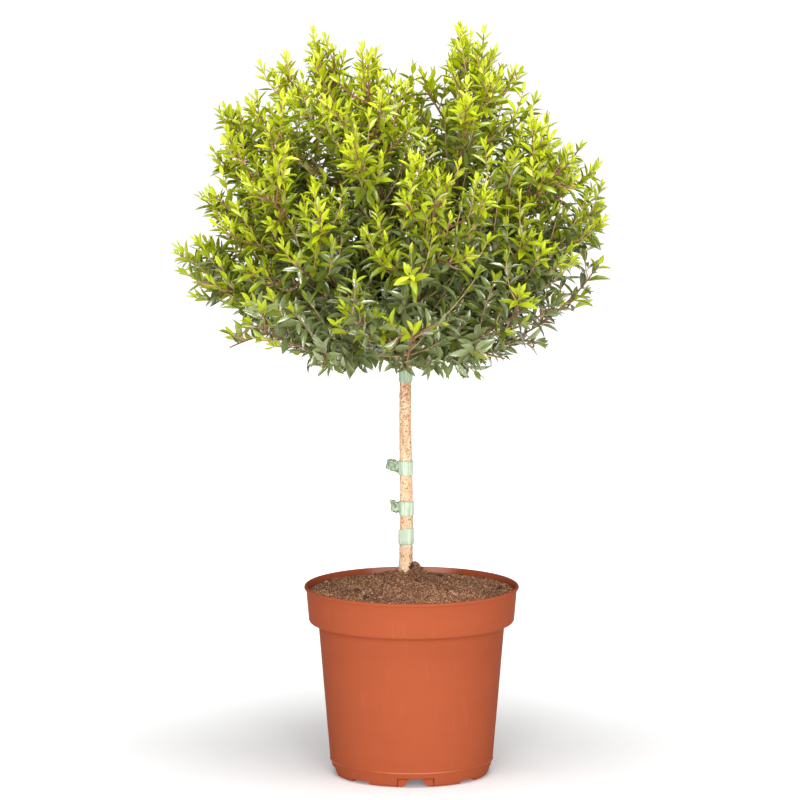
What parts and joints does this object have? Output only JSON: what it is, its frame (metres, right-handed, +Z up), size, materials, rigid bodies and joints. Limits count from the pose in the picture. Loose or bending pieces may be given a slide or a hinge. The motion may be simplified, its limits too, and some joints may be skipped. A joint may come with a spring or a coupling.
{
  "type": "potted myrtle standard",
  "caption": "Small-leaved myrtle grown as a standard, with an open rounded head on a clear stem, planted in a terracotta-coloured nursery pot.",
  "frame": {"origin": "centre of the pot's flat underside, on the pot's axis", "axes": "+Z up along the stem, -Y towards the front of the plant"},
  "size_m": [0.3975, 0.3749, 0.6693],
  "materials": {
    "pot": "satin",
    "soil": "matte",
    "bark": "matte",
    "limb": "matte",
    "tape": "satin",
    "foliage": "satin"
  },
  "bodies": {
    "root": {"pot": "pot", "potting_soil": "soil", "stem": "bark", "tie_lower": "tape", "tie_middle": "tape", "tie_upper": "tape", "tie_top": "tape", "bough_shoulder_1": "limb", "bough_shoulder_2": "limb", "bough_shoulder_3": "limb", "bough_shoulder_4": "limb", "bough_shoulder_5": "limb", "bough_shoulder_6": "limb", "bough_skirt_1": "limb", "bough_skirt_2": "limb", "bough_skirt_3": "limb", "bough_skirt_4": "limb", "bough_skirt_5": "limb", "bough_skirt_6": "limb", "bough_skirt_7": "limb", "bough_top_1": "limb", "bough_top_2": "limb", "bough_top_3": "limb", "bough_top_4": "limb", "foliage_shoulder_1": "foliage", "foliage_shoulder_2": "foliage", "foliage_shoulder_3": "foliage", "foliage_shoulder_4": "foliage", "foliage_shoulder_5": "foliage", "foliage_shoulder_6": "foliage", "foliage_skirt_1": "foliage", "foliage_skirt_2": "foliage", "foliage_skirt_3": "foliage", "foliage_skirt_4": "foliage", "foliage_skirt_5": "foliage", "foliage_skirt_6": "foliage", "foliage_skirt_7": "foliage", "foliage_top_1": "foliage", "foliage_top_2": "foliage", "foliage_top_3": "foliage", "foliage_top_4": "foliage"}
  },
  "joints": []
}
